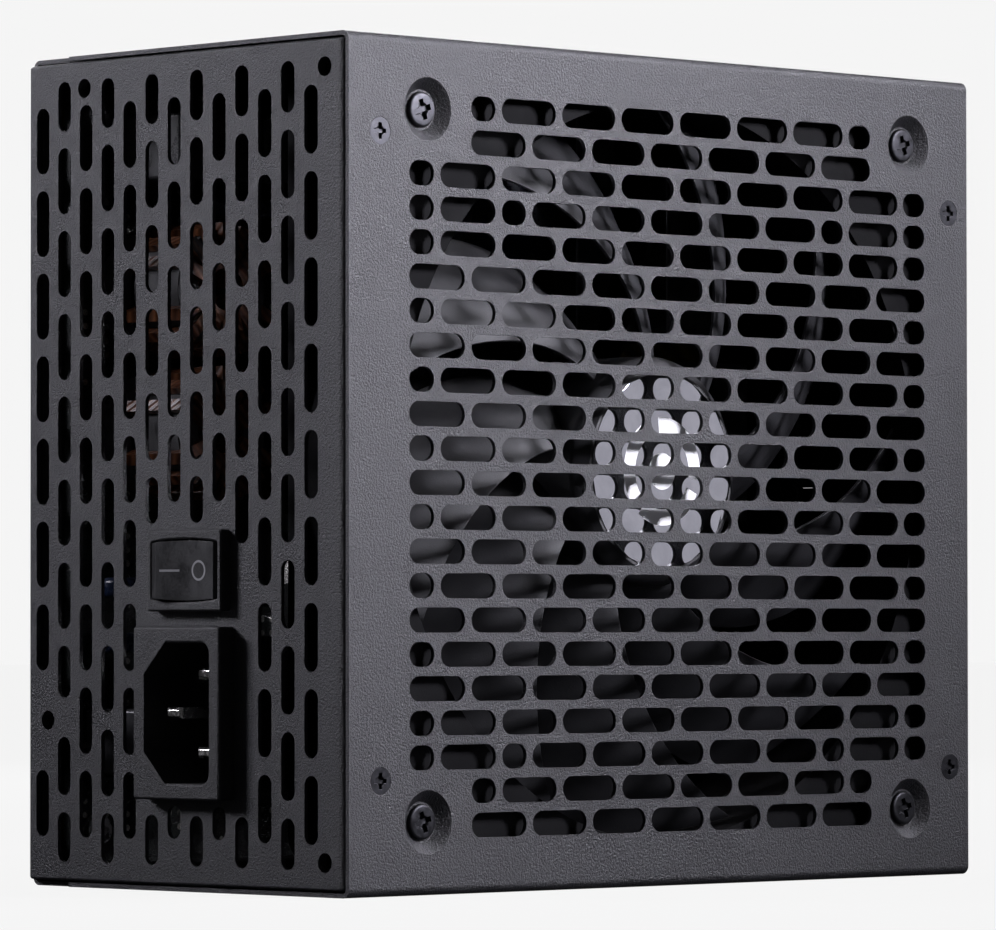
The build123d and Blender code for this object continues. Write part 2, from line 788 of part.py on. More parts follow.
def transformerWinding():
    body = block(span(transformerU, 23.6), (boardFace - 35.8, boardFace - 8.2), span(transformerZ, 37))
    return rounded(body, Axis.Y, 5.0)


def standbyTransformer():
    core = standing(118, 24, (20, 16), 20) - standing(118, 24, (13, 18), 15)
    core += block(span(118, 20), (boardFace - 5, boardFace - 1), span(24, 16))
    return core + rounded(block(span(118, 12.6), (boardFace - 14.8, boardFace - 5), span(24, 21)), Axis.Y, 2)


def outputCapacitors():
    cans = Part()
    for z in (104, 115, 126, 137):
        can = rodD(138, boardFace - 25, boardFace, z, 5.0)
        cans += fillet(can.edges().filter_by(GeomType.CIRCLE).group_by(Axis.Y)[0], 0.8)
    return cans


def daughterBoards():
    board = block((106, 107.2), (boardFace - 22, boardFace), (48, 62))
    board += block((104.4, 106), (boardFace - 17, boardFace - 9), (51, 59))
    return Part() + [board, converterBoard()]


def converterBoard():
    board = block((142.6, 144.0), (boardFace - 34, boardFace), (20, 60))
    for z in (25, 45):
        board += block((140.6, 142.6), (boardFace - 30, boardFace - 24), (z, z + 8))
    return board


def converterInductors():
    coils = Part()
    for z in (24, 44):
        body = block((133.6, 142.6), (boardFace - 20, boardFace - 8), (z, z + 12))
        coils += rounded(body, Axis.X, 1.2)
    return coils


# output panel

def socketList():
    # (name, d, z, columns)
    top, middle, low = socketRows
    return [
        ("main_socket_18", top, 122.0, 9),
        ("main_socket_10", top, 85.0, 5),
        ("eight_way_socket_1", top, 56.0, 4),
        ("eight_way_socket_2", top, 30.0, 4),
        ("eight_way_socket_3", middle, 130.0, 4),
        ("eight_way_socket_4", middle, 104.0, 4),
        ("eight_way_socket_5", middle, 78.0, 4),
        ("eight_way_socket_6", middle, 52.0, 4),
        ("high_power_socket", middle, 26.0, 4),
        ("six_way_socket_1", low, 126.0, 3),
        ("six_way_socket_2", low, 100.0, 3),
        ("six_way_socket_3", low, 74.0, 3),
        ("six_way_socket_4", low, 48.0, 3),
    ]


def socket(d, z, columns):
    wide = columns * socketPitch + 1.4
    face = caseDepth + socketProud
    body = block((socketSeat, face), span(d, 10.0), span(z, wide))
    body = rounded(body, Axis.X, 0.4)
    body += block((face - 8, face - 0.8), (d + 4.4, d + 5.1), span(z, 4.0))
    for place in cellPlaces(d, z, columns):
        hole = block((face - socketCellDeep, face + 1), span(place[0], socketCell), span(place[1], socketCell))
        body -= rounded(hole, Axis.X, 0.5)
        body -= block((socketSeat - 1, face), span(place[0], socketPin), span(place[1], socketPin))
    return body


def cellPlaces(d, z, columns):
    first = z - (columns - 1) * socketPitch / 2
    return [(d + side * socketPitch / 2, first + socketPitch * index)
            for index in range(columns) for side in (-1, 1)]


def socketPins():
    pins = Part()
    tip = caseDepth + socketProud - 2.5
    for _, d, z, columns in socketList():
        for place in cellPlaces(d, z, columns):
            pins += block((socketSeat, tip), span(place[0], socketPin), span(place[1], socketPin))
    return pins


def socketBoard():
    return block((socketSeat - boardThick, socketSeat), (31, boardFace), (8, caseWidth - 8))


def ratingLabel():
    plate = block((22, 138), (caseHeight, caseHeight + labelThick), (28, 122))
    return rounded(plate, Axis.Y, 2.5)


os.makedirs("parts", exist_ok=True)
parts = {
    "cover": cover,
    "tray": tray,
    "insulating_sheet": insulatingSheet,
    "standoffs": standoffs,
    "main_board": mainBoard,
    "board_screws": boardScrews,
    "cover_screws": coverScrews,
    "fan_screws": fanScrews,
    "fan_frame": fanFrame,
    "fan_bearing": fanBearing,
    "stator_core": statorCore,
    "stator_coils": statorCoils,
    "fan_board": fanBoard,
    "fan_rotor": fanRotor,
    "rotor_yoke": rotorYoke,
    "rotor_magnet": rotorMagnet,
    "rotor_shaft": rotorShaft,
    "hub_label": hubLabel,
    "fan_lead": fanLead,
    "fan_plug": fanPlug,
    "inlet_housing": inletHousing,
    "inlet_pins": inletPins,
    "filter_board": filterBoard,
    "switch_housing": switchHousing,
    "switch_terminals": switchTerminals,
    "rocker": rocker,
    "film_capacitors": filmCapacitors,
    "disc_capacitors": discCapacitors,
    "choke_cores": chokeCores,
    "choke_windings": chokeWindings,
    "fuse": fuse,
    "varistor": varistor,
    "bridge_rectifiers": bridgeRectifiers,
    "heatsinks": heatsinks,
    "pfc_core": pfcCore,
    "pfc_winding": pfcWinding,
    "bulk_capacitors": bulkCapacitors,
    "power_transistors": powerTransistors,
    "transformer_core": transformerCore,
    "transformer_winding": transformerWinding,
    "standby_transformer": standbyTransformer,
    "output_capacitors": outputCapacitors,
    "daughter_boards": daughterBoards,
    "converter_inductors": converterInductors,
    "socket_board": socketBoard,
    "socket_pins": socketPins,
    "rating_label": ratingLabel,
}
for name, make in parts.items():
    export_step(make(), f"parts/{name}.step")
for name, d, z, columns in socketList():
    export_step(socket(d, z, columns), f"parts/{name}.step")
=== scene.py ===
# Desktop power supply: looks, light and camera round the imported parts. Metres throughout.
import json
from math import radians, tau

import bmesh
import bpy
from mathutils import Euler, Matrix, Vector


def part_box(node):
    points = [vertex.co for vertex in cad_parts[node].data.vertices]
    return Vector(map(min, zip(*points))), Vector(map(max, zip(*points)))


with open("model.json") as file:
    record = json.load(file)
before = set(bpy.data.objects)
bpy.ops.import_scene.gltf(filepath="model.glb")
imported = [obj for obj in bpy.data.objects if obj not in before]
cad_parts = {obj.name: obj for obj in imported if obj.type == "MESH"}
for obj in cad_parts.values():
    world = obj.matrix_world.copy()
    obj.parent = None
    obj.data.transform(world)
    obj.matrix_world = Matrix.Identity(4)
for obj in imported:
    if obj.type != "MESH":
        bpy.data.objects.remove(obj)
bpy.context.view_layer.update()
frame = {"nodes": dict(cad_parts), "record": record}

print("parts loaded:", len(frame["nodes"]))

mm = 0.001
parts = frame["nodes"]
slotOf = {part["node"]: part["material_slot"] for part in frame["record"]["subparts"]}


def middle(node):
    low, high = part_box(node)
    return (Vector(low) + Vector(high)) / 2


# node helpers

def wire(tree, source, target):
    tree.links.new(source, target)


def put(tree, kind, **settings):
    node = tree.nodes.new(kind)
    for name, value in settings.items():
        setattr(node, name, value)
    return node


def feed(tree, target, value):
    # a number goes on the socket, anything else is a link
    if isinstance(value, bpy.types.NodeSocket):
        wire(tree, value, target)
    else:
        target.default_value = value


def maths(tree, operation, *values, clamp=False):
    node = put(tree, "ShaderNodeMath", operation=operation, use_clamp=clamp)
    for socket, value in zip(node.inputs, values):
        feed(tree, socket, value)
    return node.outputs[0]


def spread(tree, value, low, high, toLow, toHigh):
    node = put(tree, "ShaderNodeMapRange", interpolation_type="SMOOTHSTEP")
    feed(tree, node.inputs["Value"], value)
    node.inputs["From Min"].default_value = low
    node.inputs["From Max"].default_value = high
    node.inputs["To Min"].default_value = toLow
    node.inputs["To Max"].default_value = toHigh
    return node.outputs["Result"]


def blendColour(tree, factor, first, second):
    node = put(tree, "ShaderNodeMix", data_type="RGBA")
    feed(tree, node.inputs[0], factor)
    for socket, colour in ((node.inputs[6], first), (node.inputs[7], second)):
        feed(tree, socket, colour if isinstance(colour, bpy.types.NodeSocket) else (*colour, 1.0))
    return node.outputs[2]


def newGroup(name, inputs, outputs):
    group = bpy.data.node_groups.new(name, "ShaderNodeTree")
    for label, value in inputs.items():
        socket = group.interface.new_socket(label, in_out="INPUT", socket_type="NodeSocketFloat")
        socket.default_value = value
    for label in outputs:
        group.interface.new_socket(label, in_out="OUTPUT", socket_type="NodeSocketFloat")
    start = group.nodes.new("NodeGroupInput")
    end = group.nodes.new("NodeGroupOutput")
    return group, start, end


def place(tree, group, values):
    node = put(tree, "ShaderNodeGroup", node_tree=group)
    for label, value in values.items():
        feed(tree, node.inputs[label], value)
    return node.outputs


def scaledPoint(tree, size, stretch=(1.0, 1.0, 1.0)):
    # the part's own coordinates, counted in grains of that size
    point = tree.nodes.new("ShaderNodeTexCoord").outputs["Object"]
    scale = put(tree, "ShaderNodeVectorMath", operation="SCALE")
    wire(tree, point, scale.inputs[0])
    feed(tree, scale.inputs["Scale"], maths(tree, "DIVIDE", 1.0, size))
    bend = put(tree, "ShaderNodeVectorMath", operation="MULTIPLY")
    wire(tree, scale.outputs[0], bend.inputs[0])
    bend.inputs[1].default_value = stretch
    return bend.outputs[0]


def noise(tree, point, detail=2.0, roughness=0.5, distortion=0.0):
    node = put(tree, "ShaderNodeTexNoise")
    wire(tree, point, node.inputs["Vector"])
    node.inputs["Scale"].default_value = 1.0
    node.inputs["Detail"].default_value = detail
    node.inputs["Roughness"].default_value = roughness
    node.inputs["Distortion"].default_value = distortion
    return node.outputs[0]


# effects that several finishes share

def makeGrain():
    # fine raised grain over broad, soft patches
    inputs = {"Grain Size": 0.0005, "Patch Size": 0.01}
    group, start, end = newGroup("surfaceGrain", inputs, ("Grain", "Patch"))
    fine = noise(group, scaledPoint(group, start.outputs["Grain Size"]), 3.0, 0.75)
    broad = noise(group, scaledPoint(group, start.outputs["Patch Size"]), 3.0, 0.55, 0.3)
    wire(group, spread(group, fine, 0.3, 0.7, 0.0, 1.0), end.inputs["Grain"])
    wire(group, spread(group, broad, 0.3, 0.7, 0.0, 1.0), end.inputs["Patch"])
    return group


def makeBrush():
    # long fine lines along Z, as left by drawing or polishing
    group, start, end = newGroup("brushLines", {"Line Size": 0.0002}, ("Lines",))
    point = scaledPoint(group, start.outputs["Line Size"], (1.0, 1.0, 0.03))
    wire(group, noise(group, point, 2.0, 0.6), end.inputs["Lines"])
    return group


def makeScuffs():
    # sparse short rubs
    group, start, end = newGroup("handlingScuffs", {"Size": 0.004, "Amount": 0.3}, ("Mask",))
    long = noise(group, scaledPoint(group, start.outputs["Size"], (1.0, 0.35, 2.4)), 4.0, 0.7, 0.6)
    cut = spread(group, long, 0.58, 0.7, 0.0, 1.0)
    wire(group, maths(group, "MULTIPLY", cut, start.outputs["Amount"], clamp=True), end.inputs["Mask"])
    return group


def makeDust():
    # thin dust where a surface looks up
    group, start, end = newGroup("settledDust", {"Size": 0.002, "Amount": 0.2}, ("Mask",))
    normal = group.nodes.new("ShaderNodeNewGeometry").outputs["Normal"]
    parted = group.nodes.new("ShaderNodeSeparateXYZ")
    wire(group, normal, parted.inputs[0])
    up = spread(group, parted.outputs[2], 0.35, 0.95, 0.0, 1.0)
    fluff = noise(group, scaledPoint(group, start.outputs["Size"]), 5.0, 0.7)
    mask = maths(group, "MULTIPLY", up, spread(group, fluff, 0.35, 0.7, 0.25, 1.0))
    wire(group, maths(group, "MULTIPLY", mask, start.outputs["Amount"], clamp=True), end.inputs["Mask"])
    return group


def makeRing():
    # 1 on a ring about a point on the part, looking along X or Y
    inputs = {"Across": 0.0, "Up": 0.0, "Radius": 0.002, "Half Stroke": 0.0002, "Soft": 0.00004}
    group, start, end = newGroup("printedRing", inputs, ("Mask", "Distance"))
    group.interface.new_socket("Point", in_out="INPUT", socket_type="NodeSocketVector")
    parted = group.nodes.new("ShaderNodeSeparateXYZ")
    wire(group, start.outputs["Point"], parted.inputs[0])
    across = maths(group, "SUBTRACT", parted.outputs[0], start.outputs["Across"])
    up = maths(group, "SUBTRACT", parted.outputs[1], start.outputs["Up"])
    square = maths(group, "ADD", maths(group, "MULTIPLY", across, across), maths(group, "MULTIPLY", up, up))
    radius = maths(group, "SQRT", square)
    away = maths(group, "ABSOLUTE", maths(group, "SUBTRACT", radius, start.outputs["Radius"]))
    inside = maths(group, "SUBTRACT", start.outputs["Half Stroke"], away)
    wire(group, maths(group, "DIVIDE", inside, start.outputs["Soft"], clamp=True), end.inputs["Mask"])
    wire(group, radius, end.inputs["Distance"])
    return group


def makeBar():
    # 1 inside an upright rectangle
    inputs = {"Across": 0.0, "Up": 0.0, "Half Width": 0.002, "Half Height": 0.0002, "Soft": 0.00004}
    group, start, end = newGroup("printedBar", inputs, ("Mask",))
    group.interface.new_socket("Point", in_out="INPUT", socket_type="NodeSocketVector")
    parted = group.nodes.new("ShaderNodeSeparateXYZ")
    wire(group, start.outputs["Point"], parted.inputs[0])
    sides = []
    for socket, centre, half in ((0, "Across", "Half Width"), (1, "Up", "Half Height")):
        away = maths(group, "SUBTRACT", parted.outputs[socket], start.outputs[centre])
        inside = maths(group, "SUBTRACT", start.outputs[half], maths(group, "ABSOLUTE", away))
        sides.append(maths(group, "DIVIDE", inside, start.outputs["Soft"], clamp=True))
    wire(group, maths(group, "MULTIPLY", *sides), end.inputs["Mask"])
    return group


grainGroup = makeGrain()
brushGroup = makeBrush()
scuffGroup = makeScuffs()
dustGroup = makeDust()
ringGroup = makeRing()
barGroup = makeBar()
print("effect groups built")


# finishes

def startFinish(name, shader):
    material = bpy.data.materials.new(name)
    material.use_nodes = True
    bsdf = material.node_tree.nodes["Principled BSDF"]
    for label, value in shader.items():
        bsdf.inputs[label].default_value = value
    return material, material.node_tree, bsdf


def addRelief(tree, bsdf, height, depth):
    bump = put(tree, "ShaderNodeBump")
    bump.inputs["Distance"].default_value = depth
    bump.inputs["Strength"].default_value = 1.0
    wire(tree, height, bump.inputs["Height"])
    wire(tree, bump.outputs[0], bsdf.inputs["Normal"])


# what a look has where its own dictionary says nothing, and the dust that all of them share
usual = {"scuffSize": 4 * mm, "scuffs": 0.2, "grainRough": 0.05,
         "dustSize": 1.6 * mm, "dustTone": (0.2, 0.19, 0.18), "dustRough": 0.4}


def plainFinish(name, look):
    # colour between two tones, grain, scuffs and settled dust, all from one dictionary
    material, tree, bsdf = startFinish(name, look.get("shader", {}))
    field = place(tree, grainGroup, {"Grain Size": look["grain"], "Patch Size": look["patch"]})
    colour = blendColour(tree, field["Patch"], look["tones"][0], look["tones"][1])
    pits = spread(tree, field["Grain"], 0.0, 1.0, 1.0 - look.get("speck", 0.0), 1.0)
    shade = put(tree, "ShaderNodeMix", data_type="RGBA", blend_type="MULTIPLY")
    shade.inputs[0].default_value = 1.0
    wire(tree, colour, shade.inputs[6])
    wire(tree, pits, shade.inputs[7])
    colour = shade.outputs[2]
    scuffs = place(tree, scuffGroup, {"Size": look.get("scuffSize", usual["scuffSize"]),
                                      "Amount": look.get("scuffs", usual["scuffs"])})
    colour = blendColour(tree, scuffs["Mask"], colour, look.get("scuffTone", look["tones"][1]))
    dust = place(tree, dustGroup, {"Size": usual["dustSize"], "Amount": look["dust"]})
    colour = blendColour(tree, dust["Mask"], colour, usual["dustTone"])
    low, high = look["rough"]
    broad = spread(tree, field["Patch"], 0.0, 1.0, low, high)
    pitted = maths(tree, "MULTIPLY_ADD", field["Grain"], look.get("grainRough", usual["grainRough"]), broad)
    rough = maths(tree, "MULTIPLY_ADD", dust["Mask"], usual["dustRough"], pitted)
    wire(tree, rough, bsdf.inputs["Roughness"])
    wire(tree, colour, bsdf.inputs["Base Color"])
    height = field["Grain"]
    if "lines" in look:
        height = place(tree, brushGroup, {"Line Size": look["lines"]})["Lines"]
    addRelief(tree, bsdf, height, look["relief"])
    return material, tree, bsdf, colour


def facePoint(tree, side):
    # the part's own coordinates as (across, up): side "x" looks along X, side "y" along Y
    point = tree.nodes.new("ShaderNodeTexCoord").outputs["Object"]
    parted = tree.nodes.new("ShaderNodeSeparateXYZ")
    wire(tree, point, parted.inputs[0])
    joined = tree.nodes.new("ShaderNodeCombineXYZ")
    wire(tree, parted.outputs[1 if side == "x" else 0], joined.inputs[0])
    wire(tree, parted.outputs[2], joined.inputs[1])
    return joined.outputs[0]


# tones: darkest and lightest colour. rough: smoothest and roughest patch. grain, patch, lines and
# scuffSize: sizes on the part. relief: height of the grain. shader: values set on the shader itself.
caseLook = {"tones": ((0.0125, 0.0125, 0.0143), (0.0165, 0.0164, 0.0186)), "rough": (0.30, 0.35),
            "grain": 0.44 * mm, "patch": 7 * mm, "relief": 0.085 * mm, "speck": 0.45, "grainRough": 0.14,
            "scuffs": 0.10, "scuffSize": 9 * mm, "scuffTone": (0.028, 0.028, 0.031),
            "dust": 0.05, "shader": {"IOR": 1.52}}
blackPlasticLook = {"tones": ((0.0105, 0.0105, 0.0112), (0.0145, 0.0145, 0.0155)), "rough": (0.40, 0.50),
                    "grain": 0.40 * mm, "patch": 4 * mm, "relief": 0.065 * mm, "speck": 0.4,
                    "grainRough": 0.1, "scuffs": 0.15, "scuffSize": 3 * mm,
                    "scuffTone": (0.03, 0.03, 0.031), "dust": 0.05}
fanPlasticLook = {"tones": ((0.016, 0.016, 0.0175), (0.021, 0.021, 0.023)), "rough": (0.34, 0.44),
                  "grain": 0.25 * mm, "patch": 9 * mm, "relief": 0.012 * mm, "speck": 0.12,
                  "scuffs": 0.15, "scuffSize": 6 * mm, "scuffTone": (0.035, 0.035, 0.037), "dust": 0.12}
# fan frame: a much darker, less glossy copy of the fan plastic, painted shade for the frame seen in the dark
# through the grille slots
frameShadeLook = {"tones": ((0.0030, 0.0030, 0.0034), (0.0045, 0.0045, 0.0050)), "rough": (0.65, 0.78),
             "grain": 0.25 * mm, "patch": 9 * mm, "relief": 0.012 * mm, "speck": 0.15,
             "scuffs": 0.1, "scuffSize": 6 * mm, "scuffTone": (0.012, 0.012, 0.013), "dust": 0.05,
             "shader": {"Specular IOR Level": 0.08}}
screwLook = {"tones": ((0.022, 0.022, 0.024), (0.032, 0.032, 0.035)), "rough": (0.34, 0.44),
             "grain": 0.3 * mm, "patch": 1.2 * mm, "relief": 0.006 * mm, "scuffs": 0.5,
             "scuffSize": 1.0 * mm, "scuffTone": (0.05, 0.05, 0.05), "dust": 0.04,
             "shader": {"Metallic": 1.0}}
steelLook = {"tones": ((0.50, 0.50, 0.51), (0.62, 0.62, 0.62)), "rough": (0.22, 0.34), "grain": 0.3 * mm,
             "patch": 3 * mm, "relief": 0.004 * mm, "lines": 0.08 * mm, "dust": 0.1,
             "shader": {"Metallic": 1.0}}
brassLook = {"tones": ((0.66, 0.45, 0.17), (0.76, 0.55, 0.25)), "rough": (0.20, 0.34), "grain": 0.3 * mm,
             "patch": 2 * mm, "relief": 0.004 * mm, "lines": 0.1 * mm, "dust": 0.08,
             "shader": {"Metallic": 1.0}}
nickelLook = {"tones": ((0.66, 0.65, 0.61), (0.80, 0.79, 0.75)), "rough": (0.14, 0.26), "grain": 0.2 * mm,
              "patch": 1.5 * mm, "relief": 0.003 * mm, "lines": 0.06 * mm, "dust": 0.03,
              "scuffs": 0.3, "scuffSize": 1.5 * mm, "scuffTone": (0.45, 0.44, 0.4),
              "shader": {"Metallic": 1.0}}
aluminiumLook = {"tones": ((0.60, 0.61, 0.62), (0.72, 0.72, 0.73)), "rough": (0.30, 0.42), "grain": 0.3 * mm,
                 "patch": 8 * mm, "relief": 0.008 * mm, "lines": 0.15 * mm, "dust": 0.15,
                 "shader": {"Metallic": 1.0}}
filmLook = {"tones": ((0.045, 0.045, 0.045), (0.06, 0.06, 0.06)), "rough": (0.30, 0.40), "grain": 0.5 * mm,
            "patch": 12 * mm, "relief": 0.01 * mm, "dust": 0.2}
ferriteLook = {"tones": ((0.05, 0.05, 0.053), (0.085, 0.084, 0.085)), "rough": (0.62, 0.78),
               "grain": 0.2 * mm, "patch": 3 * mm, "relief": 0.02 * mm, "speck": 0.35, "dust": 0.15}
sleeveLook = {"tones": ((0.020, 0.020, 0.032), (0.030, 0.030, 0.046)), "rough": (0.18, 0.28),
              "grain": 0.6 * mm, "patch": 8 * mm, "relief": 0.008 * mm, "dust": 0.15}
paleLook = {"tones": ((0.62, 0.59, 0.50), (0.70, 0.68, 0.60)), "rough": (0.35, 0.48), "grain": 0.2 * mm,
            "patch": 3 * mm, "relief": 0.01 * mm, "dust": 0.1}
greyPlasticLook = {"tones": ((0.040, 0.040, 0.043), (0.060, 0.060, 0.064)), "rough": (0.24, 0.36),
                   "grain": 0.4 * mm, "patch": 5 * mm, "relief": 0.01 * mm, "dust": 0.15}
blueLook = {"tones": ((0.007, 0.014, 0.040), (0.011, 0.022, 0.060)), "rough": (0.18, 0.32), "grain": 0.5 * mm,
            "patch": 2 * mm, "relief": 0.02 * mm, "dust": 0.12}
resinLook = {"tones": ((0.016, 0.016, 0.017), (0.026, 0.026, 0.027)), "rough": (0.45, 0.6),
             "grain": 0.12 * mm, "patch": 2 * mm, "relief": 0.01 * mm, "speck": 0.2, "dust": 0.12}
sleeveWireLook = {"tones": ((0.018, 0.018, 0.018), (0.03, 0.03, 0.03)), "rough": (0.34, 0.5),
                  "grain": 0.3 * mm, "patch": 4 * mm, "relief": 0.012 * mm, "dust": 0.1}
glassLook = {"tones": ((0.86, 0.88, 0.87), (0.92, 0.93, 0.92)), "rough": (0.02, 0.06), "grain": 0.4 * mm,
             "patch": 3 * mm, "relief": 0.002 * mm, "dust": 0.05,
             "shader": {"IOR": 1.5, "Transmission Weight": 0.85}}


def switchFinish():
    # moulded plastic with a line and a ring printed on the rocker
    marks = {"offset": 3.3 * mm, "ringRadius": 1.62 * mm, "stroke": 0.22 * mm, "lineLong": 4.1 * mm,
             "soft": 0.05 * mm, "ink": (0.30, 0.30, 0.31)}
    low, high = (Vector(corner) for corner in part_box("switch_housing"))
    across = (low.y + high.y) / 2
    up = (low.z + high.z) / 2
    look = dict(blackPlasticLook, rough=(0.30, 0.38), relief=0.006 * mm)
    material, tree, bsdf, colour = plainFinish("switchPlastic", look)
    point = facePoint(tree, "x")
    ring = place(tree, ringGroup, {"Point": point, "Across": across - marks["offset"], "Up": up,
                                   "Soft": marks["soft"], "Radius": marks["ringRadius"],
                                   "Half Stroke": marks["stroke"]})
    line = place(tree, barGroup, {"Point": point, "Across": across + marks["offset"], "Up": up,
                                  "Soft": marks["soft"], "Half Width": marks["lineLong"] / 2,
                                  "Half Height": marks["stroke"]})
    ink = maths(tree, "MAXIMUM", ring["Mask"], line["Mask"])
    wire(tree, blendColour(tree, ink, colour, marks["ink"]), bsdf.inputs["Base Color"])
    return material


def foilFinish():
    # satin foil with a plain broken ring and a dot printed in white
    art = {"ringRadius": 8.4 * mm, "ringHalf": 1.5 * mm, "dotRadius": 3.4 * mm, "gaps": 3,
           "gapShare": 0.13, "gapTurn": 10.2, "soft": 0.08 * mm,
           "foil": ((0.40, 0.40, 0.42), (0.48, 0.48, 0.50)), "ink": (0.86, 0.86, 0.86)}
    material, tree, bsdf = startFinish("hubFoil", {"Metallic": 0.0, "IOR": 1.5})
    hub = middle("hub_label")
    point = facePoint(tree, "y")
    ring = place(tree, ringGroup, {"Point": point, "Across": hub.x, "Up": hub.z, "Soft": art["soft"],
                                   "Radius": art["ringRadius"], "Half Stroke": art["ringHalf"]})
    dot = spread(tree, ring["Distance"], art["dotRadius"] - art["soft"], art["dotRadius"], 1.0, 0.0)
    parted = tree.nodes.new("ShaderNodeSeparateXYZ")
    wire(tree, point, parted.inputs[0])
    angle = maths(tree, "ARCTAN2", maths(tree, "SUBTRACT", parted.outputs[1], hub.z),
                  maths(tree, "SUBTRACT", parted.outputs[0], hub.x))
    shares = maths(tree, "MULTIPLY", angle, art["gaps"] / tau)
    turn = maths(tree, "FRACT", maths(tree, "ADD", shares, art["gapTurn"]))
    gap = maths(tree, "GREATER_THAN", turn, art["gapShare"])
    white = maths(tree, "MAXIMUM", dot, maths(tree, "MULTIPLY", ring["Mask"], gap))
    field = place(tree, grainGroup, {"Grain Size": 0.4 * mm, "Patch Size": 6 * mm})
    foil = blendColour(tree, field["Patch"], *art["foil"])
    wire(tree, blendColour(tree, white, foil, art["ink"]), bsdf.inputs["Base Color"])
    wire(tree, maths(tree, "SUBTRACT", 1.0, white), bsdf.inputs["Metallic"])
    wire(tree, spread(tree, white, 0.0, 1.0, 0.045, 0.35), bsdf.inputs["Roughness"])
    addRelief(tree, bsdf, field["Patch"], 0.004 * mm)
    return material


def labelFinish():
    # coated paper with a plain ruled table and blank bars
    sheet = {"rule": (0.05, 0.05, 0.055), "rows": 7, "margin": 5 * mm, "halfRule": 0.22 * mm,
             "soft": 0.08 * mm, "columns": (-1, -0.55, -0.1, 0.45, 1)}
    look = {"tones": ((0.52, 0.52, 0.53), (0.60, 0.60, 0.61)), "rough": (0.30, 0.42), "grain": 0.3 * mm,
            "patch": 14 * mm, "relief": 0.006 * mm, "dust": 0.12}
    material, tree, bsdf, colour = plainFinish("ratingPaper", look)
    low, high = (Vector(corner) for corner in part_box("rating_label"))
    point = facePoint(tree, "y")
    centre = (low + high) / 2
    halfWide = (high.x - low.x) / 2 - sheet["margin"]
    foot = low.z + sheet["margin"]
    step = (high.z - low.z - 2 * sheet["margin"]) / sheet["rows"]
    ink = None
    bars = [(centre.x, foot + row * step, halfWide, sheet["halfRule"]) for row in range(sheet["rows"] + 1)]
    bars += [(centre.x + halfWide * share, foot + step * sheet["rows"] / 2 - step / 2, sheet["halfRule"],
              step * (sheet["rows"] - 1) / 2) for share in sheet["columns"]]
    bars.append((centre.x, high.z - sheet["margin"] - step / 2, halfWide, step / 2))
    for across, up, halfWidth, halfHeight in bars:
        mask = place(tree, barGroup, {"Point": point, "Across": across, "Up": up, "Half Width": halfWidth,
                                      "Half Height": halfHeight, "Soft": sheet["soft"]})["Mask"]
        ink = mask if ink is None else maths(tree, "MAXIMUM", ink, mask)
    wire(tree, blendColour(tree, ink, colour, sheet["rule"]), bsdf.inputs["Base Color"])
    return material


def boardFinish():
    # black solder mask over copper tracks, with tinned pads
    look = {"mask": ((0.0055, 0.0070, 0.0062), (0.0080, 0.0100, 0.0090)), "track": (0.013, 0.017, 0.015),
            "pad": (0.55, 0.54, 0.50), "cell": 5 * mm, "padPitch": 2.54 * mm, "padPatch": 9 * mm,
            "grainShare": 0.15, "relief": 0.03 * mm}
    material, tree, bsdf = startFinish("boardMask", {"IOR": 1.5})
    field = place(tree, grainGroup, {"Grain Size": 0.25 * mm, "Patch Size": 6 * mm})
    base = blendColour(tree, field["Patch"], *look["mask"])
    cells = put(tree, "ShaderNodeTexVoronoi", feature="DISTANCE_TO_EDGE")
    wire(tree, scaledPoint(tree, look["cell"]), cells.inputs["Vector"])
    cells.inputs["Scale"].default_value = 1.0
    track = spread(tree, cells.outputs["Distance"], 0.09, 0.12, 0.0, 1.0)
    dots = put(tree, "ShaderNodeTexVoronoi", feature="F1")
    dots.inputs["Randomness"].default_value = 0.0
    dots.inputs["Scale"].default_value = 1.0
    wire(tree, scaledPoint(tree, look["padPitch"]), dots.inputs["Vector"])
    pick = noise(tree, scaledPoint(tree, look["padPatch"]), 1.0)
    pad = maths(tree, "MULTIPLY", spread(tree, dots.outputs["Distance"], 0.20, 0.26, 1.0, 0.0),
                spread(tree, pick, 0.56, 0.58, 0.0, 1.0))
    colour = blendColour(tree, track, base, look["track"])
    wire(tree, blendColour(tree, pad, colour, look["pad"]), bsdf.inputs["Base Color"])
    wire(tree, pad, bsdf.inputs["Metallic"])
    wire(tree, spread(tree, field["Grain"], 0.0, 1.0, 0.26, 0.36), bsdf.inputs["Roughness"])
    grain = maths(tree, "MULTIPLY", field["Grain"], look["grainShare"])
    addRelief(tree, bsdf, maths(tree, "ADD", track, grain), look["relief"])
    return material


def windingFinish(name, tones, pitch):
    # enamelled wire or tape laid in even turns, with painted shade darkening the gaps between the turns
    wound = {"turnsPerWave": 4, "sway": 0.4, "gapShade": 0.45, "relief": 0.12 * mm}
    material, tree, bsdf = startFinish(name, {"Coat Weight": 0.6, "Coat Roughness": 0.12})
    field = place(tree, grainGroup, {"Grain Size": 0.4 * mm, "Patch Size": 3 * mm})
    turns = put(tree, "ShaderNodeTexWave", wave_type="BANDS", bands_direction="DIAGONAL")
    wire(tree, scaledPoint(tree, pitch * wound["turnsPerWave"]), turns.inputs["Vector"])
    turns.inputs["Scale"].default_value = 1.0
    turns.inputs["Distortion"].default_value = wound["sway"]
    # painted shade: the colour drops to this darker tone in the valleys between turns
    dark = tuple(value * wound["gapShade"] for value in tones[0])
    colour = blendColour(tree, field["Patch"], *tones)
    wire(tree, blendColour(tree, turns.outputs[1], dark, colour), bsdf.inputs["Base Color"])
    wire(tree, spread(tree, field["Patch"], 0.0, 1.0, 0.28, 0.4), bsdf.inputs["Roughness"])
    addRelief(tree, bsdf, turns.outputs[1], wound["relief"])
    return material


